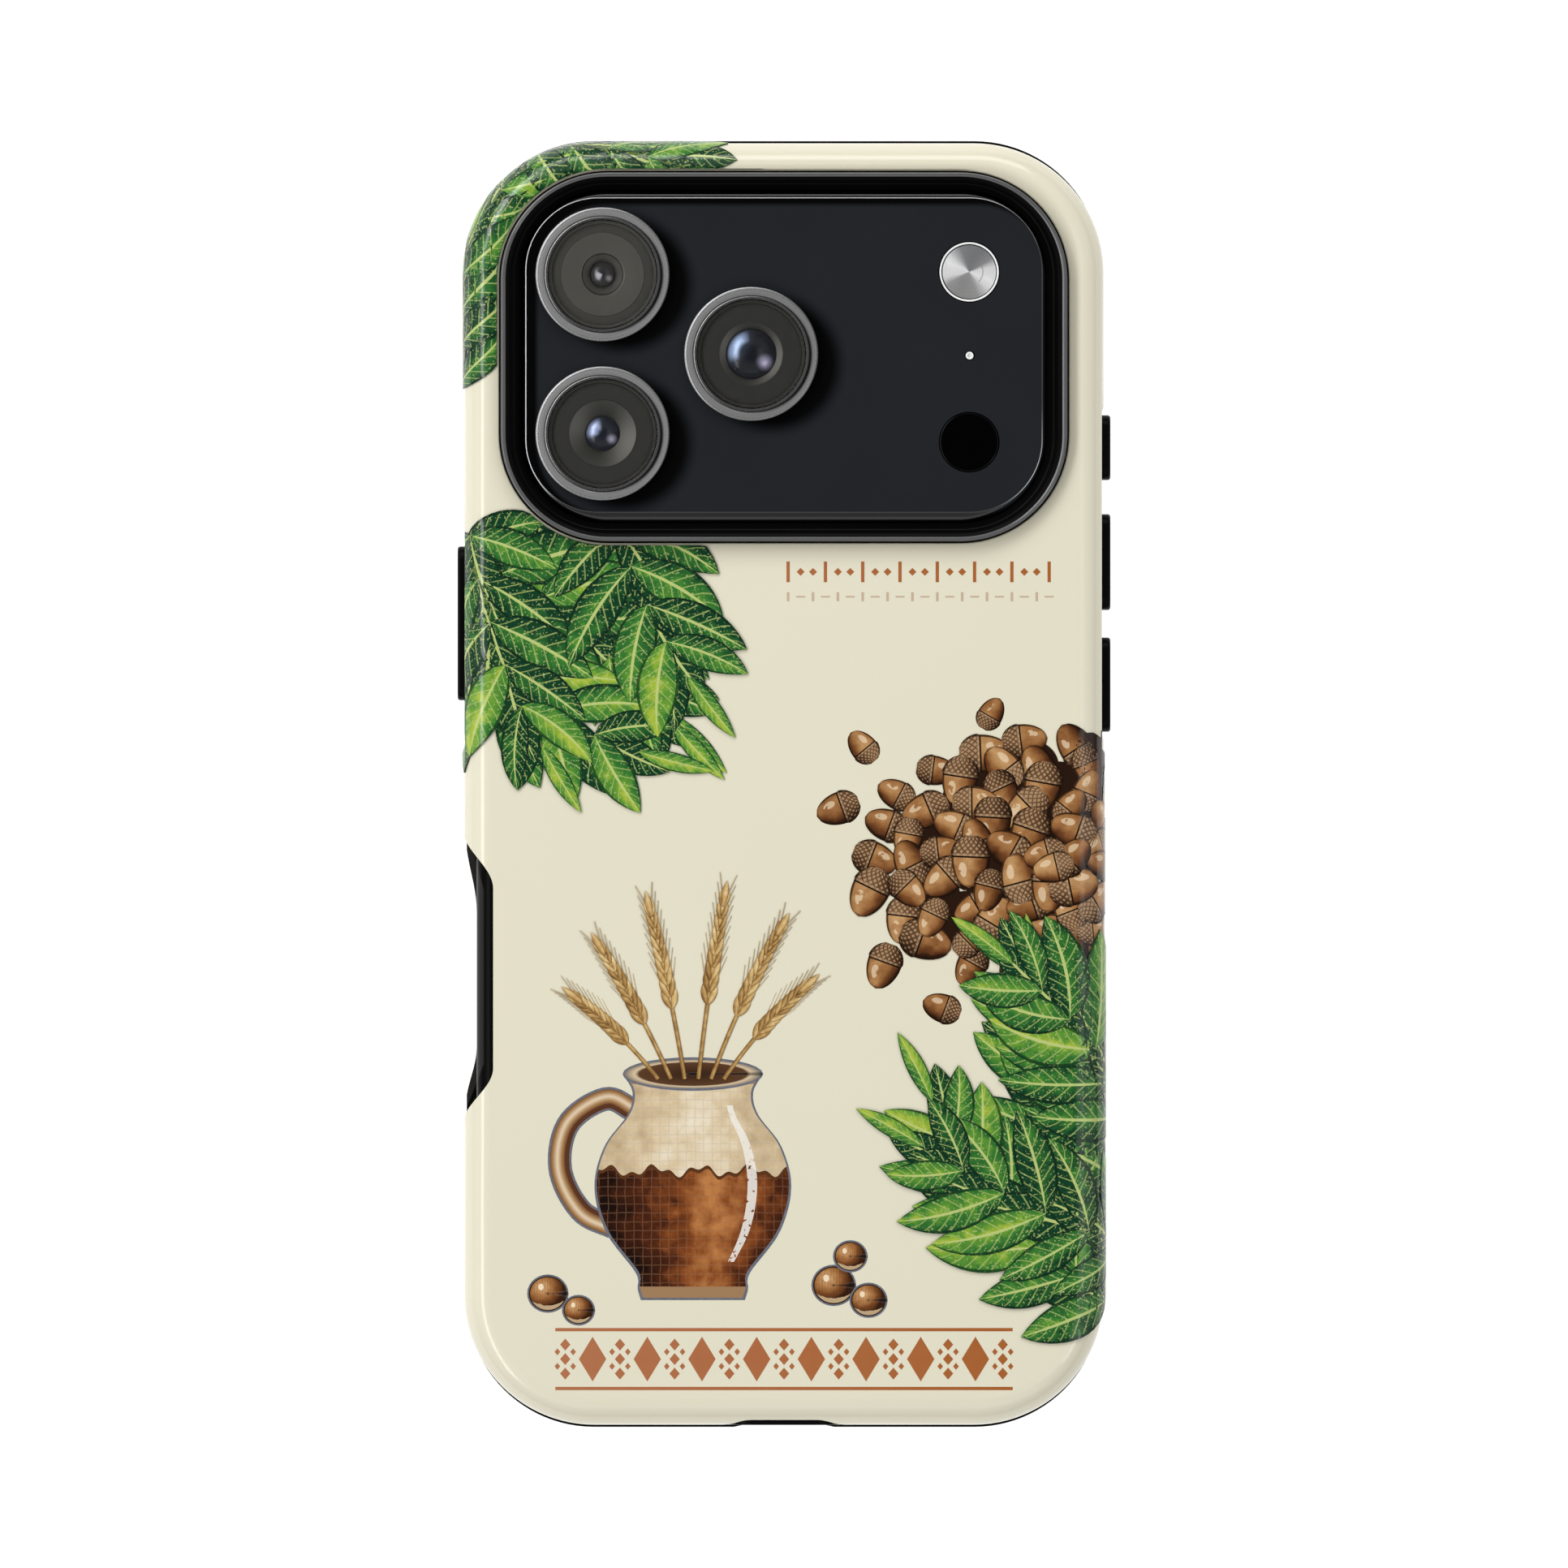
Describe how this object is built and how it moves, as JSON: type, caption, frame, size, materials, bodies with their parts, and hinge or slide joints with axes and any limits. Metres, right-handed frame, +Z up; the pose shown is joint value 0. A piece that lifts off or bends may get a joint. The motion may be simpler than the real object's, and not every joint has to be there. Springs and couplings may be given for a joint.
{
  "type": "smartphone in printed protective case",
  "caption": "Smartphone lying screen down in a two-layer protective case: a glossy printed hard shell over a black rubber liner with a raised camera lip.",
  "frame": {"origin": "on the surface the object lies on, under the middle of the whole", "axes": "+Y along the length towards the cameras, +X to the right seen from above, +Z up through the printed back"},
  "size_m": [0.0788, 0.1552, 0.0143],
  "materials": {
    "printed_shell": "glossy cream with a printed pattern in greens and browns",
    "liner_rubber": "smooth satin black",
    "body_metal": "fine blasted dark anodised",
    "display_glass": "polished, opaque black",
    "ring_metal": "satin turned",
    "cover_glass": "polished, clear",
    "barrel_black": "matt black",
    "lens_coating": "polished, blue-violet coating",
    "trim_metal": "bright satin",
    "flash_reflector": "brushed in circles",
    "sensor_window": "polished black"
  },
  "bodies": {
    "root": {"printed_shell": "printed_shell", "rubber_liner": "liner_rubber", "phone_body": "body_metal", "front_glass": "display_glass", "lens_ring_upper": "ring_metal", "lens_ring_middle": "ring_metal", "lens_ring_lower": "ring_metal", "lens_glass_upper": "cover_glass", "lens_glass_middle": "cover_glass", "lens_glass_lower": "cover_glass", "lens_barrel_upper": "barrel_black", "lens_barrel_middle": "barrel_black", "lens_barrel_lower": "barrel_black", "lens_element_upper": "lens_coating", "lens_element_middle": "lens_coating", "lens_element_lower": "lens_coating", "flash_ring": "trim_metal", "flash_lens": "flash_reflector", "rear_microphone": "trim_metal", "depth_sensor_window": "sensor_window", "side_touch_key": "sensor_window"}
  },
  "joints": []
}
